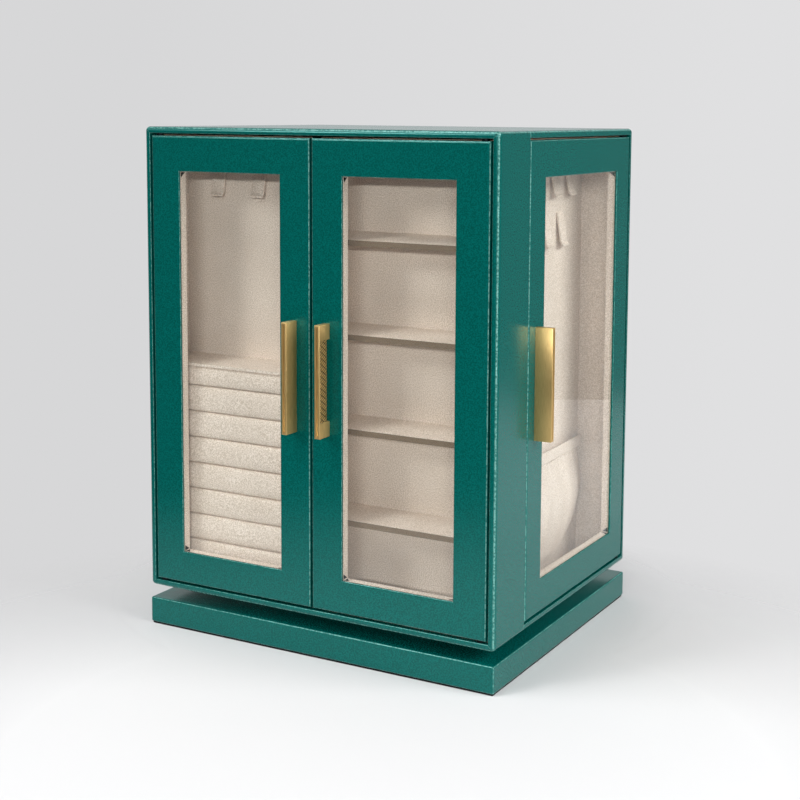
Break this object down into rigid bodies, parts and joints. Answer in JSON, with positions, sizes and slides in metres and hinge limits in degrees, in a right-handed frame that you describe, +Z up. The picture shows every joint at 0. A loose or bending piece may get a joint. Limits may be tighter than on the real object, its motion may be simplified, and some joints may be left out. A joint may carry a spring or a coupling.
{
  "type": "earring box",
  "caption": "Swivelling table cabinet for jewellery, covered in leatherette, with glazed hinged doors, velvet shelves, ring rolls, hooks and gathered pockets.",
  "frame": {"origin": "on the swivel axis, at the underside of the base", "axes": "+Z up along the swivel axis; -Y is the front with the pair of doors; +X is to the right of someone who faces the front"},
  "size_m": [0.2944, 0.2322, 0.35],
  "materials": {
    "leatherette": "fine grained, semi-gloss",
    "inner_board": "plain fibreboard, hidden",
    "velvet_flock": "short beige flock",
    "shelf_binding": "taupe edge binding",
    "elastic_band": "velvet over elastic",
    "glass_pane": "clear float glass",
    "handle_brass": "fine brushed, lacquered",
    "zinc_plated_steel": "zinc plated",
    "blackened_steel": "black oxide",
    "polished_steel": "polished",
    "base_felt": "black felt"
  },
  "bodies": {
    "base": {"base_board": "leatherette", "base_felt": "base_felt", "bearing_balls": "polished_steel", "bearing_lower_plate": "zinc_plated_steel", "bearing_lower_screws": "zinc_plated_steel"},
    "case": {"bearing_upper_plate": "zinc_plated_steel", "bearing_upper_screws": "zinc_plated_steel", "centre_partition": "inner_board", "door_magnets": "polished_steel", "front_bay_hooks": "velvet_flock", "front_box_back": "inner_board", "front_box_bottom": "leatherette", "front_box_left": "leatherette", "front_box_right": "leatherette", "front_box_top": "leatherette", "left_bay_lining": "velvet_flock", "left_partition": "inner_board", "left_pocket": "velvet_flock", "left_pocket_band": "elastic_band", "left_side_hooks": "velvet_flock", "left_side_lining": "velvet_flock", "rear_box_back": "leatherette", "rear_box_bottom": "leatherette", "rear_box_bulkhead": "inner_board", "rear_box_top": "leatherette", "right_bay_lining": "velvet_flock", "right_partition": "inner_board", "right_pocket": "velvet_flock", "right_pocket_band": "elastic_band", "right_side_hooks": "velvet_flock", "right_side_lining": "velvet_flock", "ring_rolls": "velvet_flock", "ring_shelf": "velvet_flock", "shelf_1": "velvet_flock", "shelf_2": "velvet_flock", "shelf_3": "velvet_flock", "shelf_4": "velvet_flock", "shelf_bindings": "shelf_binding"},
    "left_front_door": {"left_front_door_fixings": "blackened_steel", "left_front_door_frame": "leatherette", "left_front_door_glass": "glass_pane", "left_front_door_handle": "handle_brass", "left_front_door_velvet": "velvet_flock"},
    "right_front_door": {"right_front_door_fixings": "blackened_steel", "right_front_door_frame": "leatherette", "right_front_door_glass": "glass_pane", "right_front_door_handle": "handle_brass", "right_front_door_velvet": "velvet_flock"},
    "left_side_door": {"left_side_door_fixings": "blackened_steel", "left_side_door_frame": "leatherette", "left_side_door_glass": "glass_pane", "left_side_door_handle": "handle_brass", "left_side_door_velvet": "velvet_flock"},
    "right_side_door": {"right_side_door_fixings": "blackened_steel", "right_side_door_frame": "leatherette", "right_side_door_glass": "glass_pane", "right_side_door_handle": "handle_brass", "right_side_door_velvet": "velvet_flock"}
  },
  "joints": [
    {"name": "swivel", "type": "hinge", "parent": "base", "child": "case", "pos_m": [0, 0, 0.0235], "axis": [0, 0, 1], "continuous": true},
    {"name": "left_front_hinge", "type": "hinge", "parent": "case", "child": "left_front_door", "pos_m": [-0.124, -0.1065, 0.034], "axis": [0, 0, -1], "range_deg": [0, 110]},
    {"name": "right_front_hinge", "type": "hinge", "parent": "case", "child": "right_front_door", "pos_m": [0.124, -0.1065, 0.034], "axis": [0, 0, 1], "range_deg": [0, 110]},
    {"name": "left_side_hinge", "type": "hinge", "parent": "case", "child": "left_side_door", "pos_m": [-0.1315, 0.099, 0.034], "axis": [0, 0, -1], "range_deg": [0, 110]},
    {"name": "right_side_hinge", "type": "hinge", "parent": "case", "child": "right_side_door", "pos_m": [0.1315, 0.099, 0.034], "axis": [0, 0, 1], "range_deg": [0, 110]}
  ]
}
